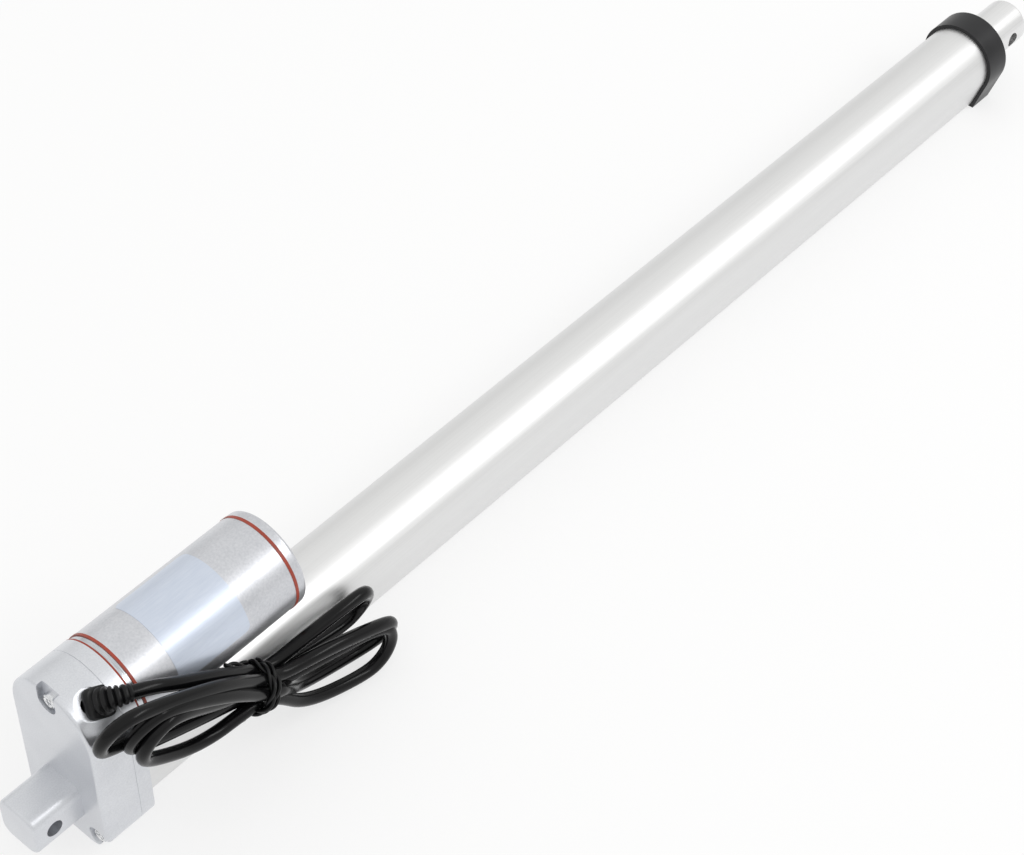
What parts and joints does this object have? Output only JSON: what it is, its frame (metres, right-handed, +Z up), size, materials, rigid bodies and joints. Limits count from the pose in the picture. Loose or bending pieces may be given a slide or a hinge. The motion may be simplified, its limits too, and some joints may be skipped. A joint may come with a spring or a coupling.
{
  "type": "electric linear actuator",
  "caption": "In-line rod electric actuator with a parallel motor on a cast gearbox, a shield-shaped tube, cross-drilled pivots at both ends and a tied cable.",
  "frame": {"origin": "middle of the rear pivot hole, on the axis of the screw and the rod", "axes": "+X from the rear pivot hole towards the rod, along the screw; +Z up, from the screw to the motor; +Y along the pivot holes"},
  "size_m": [0.573, 0.0535, 0.0792],
  "materials": {
    "silver_paint": "gloss",
    "polished_steel": "polished",
    "red_seal": "satin",
    "zinc_screw": "plated",
    "anodised_tube": "satin anodised",
    "rod_metal": "ground",
    "black_plastic": "satin",
    "black_rubber": "satin",
    "tie_plastic": "satin",
    "steel": "machined",
    "bronze": "sintered",
    "acetal": "matt",
    "copper": "bright",
    "core_iron": "laminated",
    "ferrite": "matt",
    "carbon": "matt",
    "circuit_board": "satin",
    "reed_glass": "clear"
  },
  "bodies": {
    "housing": {"cable_hank": "black_rubber", "cable_lead": "black_rubber", "cable_tie": "tie_plastic", "cover_screws": "zinc_screw", "front_cap": "black_plastic", "gear_housing": "silver_paint", "idler_pin": "steel", "motor_brush_plate": "black_plastic", "motor_brushes": "carbon", "motor_bush_end": "bronze", "motor_bush_output": "bronze", "motor_can": "steel", "motor_end_cap": "silver_paint", "motor_end_seal": "red_seal", "motor_flange": "polished_steel", "motor_front_seal": "red_seal", "motor_magnets": "ferrite", "motor_rear_seal": "red_seal", "motor_shell": "silver_paint", "outer_tube": "anodised_tube", "rear_cover": "silver_paint", "reed_switches": "reed_glass", "rod_guide": "acetal", "rod_wiper": "black_rubber", "screw_front_bush": "bronze", "screw_rear_bush": "bronze", "strain_relief": "black_rubber", "switch_strip": "circuit_board", "thrust_washer": "steel"},
    "rod": {"rod_tube": "rod_metal", "rod_end_plug": "rod_metal", "drive_nut": "acetal", "nut_magnet": "steel"},
    "spindle": {"lead_screw": "steel", "spindle_gear": "steel", "screw_tip_guide": "acetal"},
    "idler": {"idler_gear": "steel"},
    "rotor": {"motor_shaft": "steel", "armature_core": "core_iron", "armature_windings": "copper", "motor_commutator": "copper", "motor_pinion": "steel"}
  },
  "joints": [
    {"name": "rotor_spin", "type": "hinge", "parent": "housing", "child": "rotor", "pos_m": [0.06, 0, 0.035], "axis": [-1, 0, 0], "range_deg": [0, 1012500]},
    {"name": "idler_spin", "type": "hinge", "parent": "housing", "child": "idler", "pos_m": [0.022, 0.00264, 0.01902], "axis": [-1, 0, 0], "range_deg": [-289285.71, 0]},
    {"name": "spindle_spin", "type": "hinge", "parent": "housing", "child": "spindle", "pos_m": [0.06, 0, 0], "axis": [-1, 0, 0], "range_deg": [0, 81000]},
    {"name": "rod_slide", "type": "slide", "parent": "housing", "child": "rod", "axis": [1, 0, 0], "range_m": [0, 0.45]}
  ],
  "couplings": [
    {"joint": "rotor_spin", "follows": "rod_slide", "rad_per_m": 39270},
    {"joint": "idler_spin", "follows": "rod_slide", "rad_per_m": -11220},
    {"joint": "spindle_spin", "follows": "rod_slide", "rad_per_m": 3141.6}
  ]
}
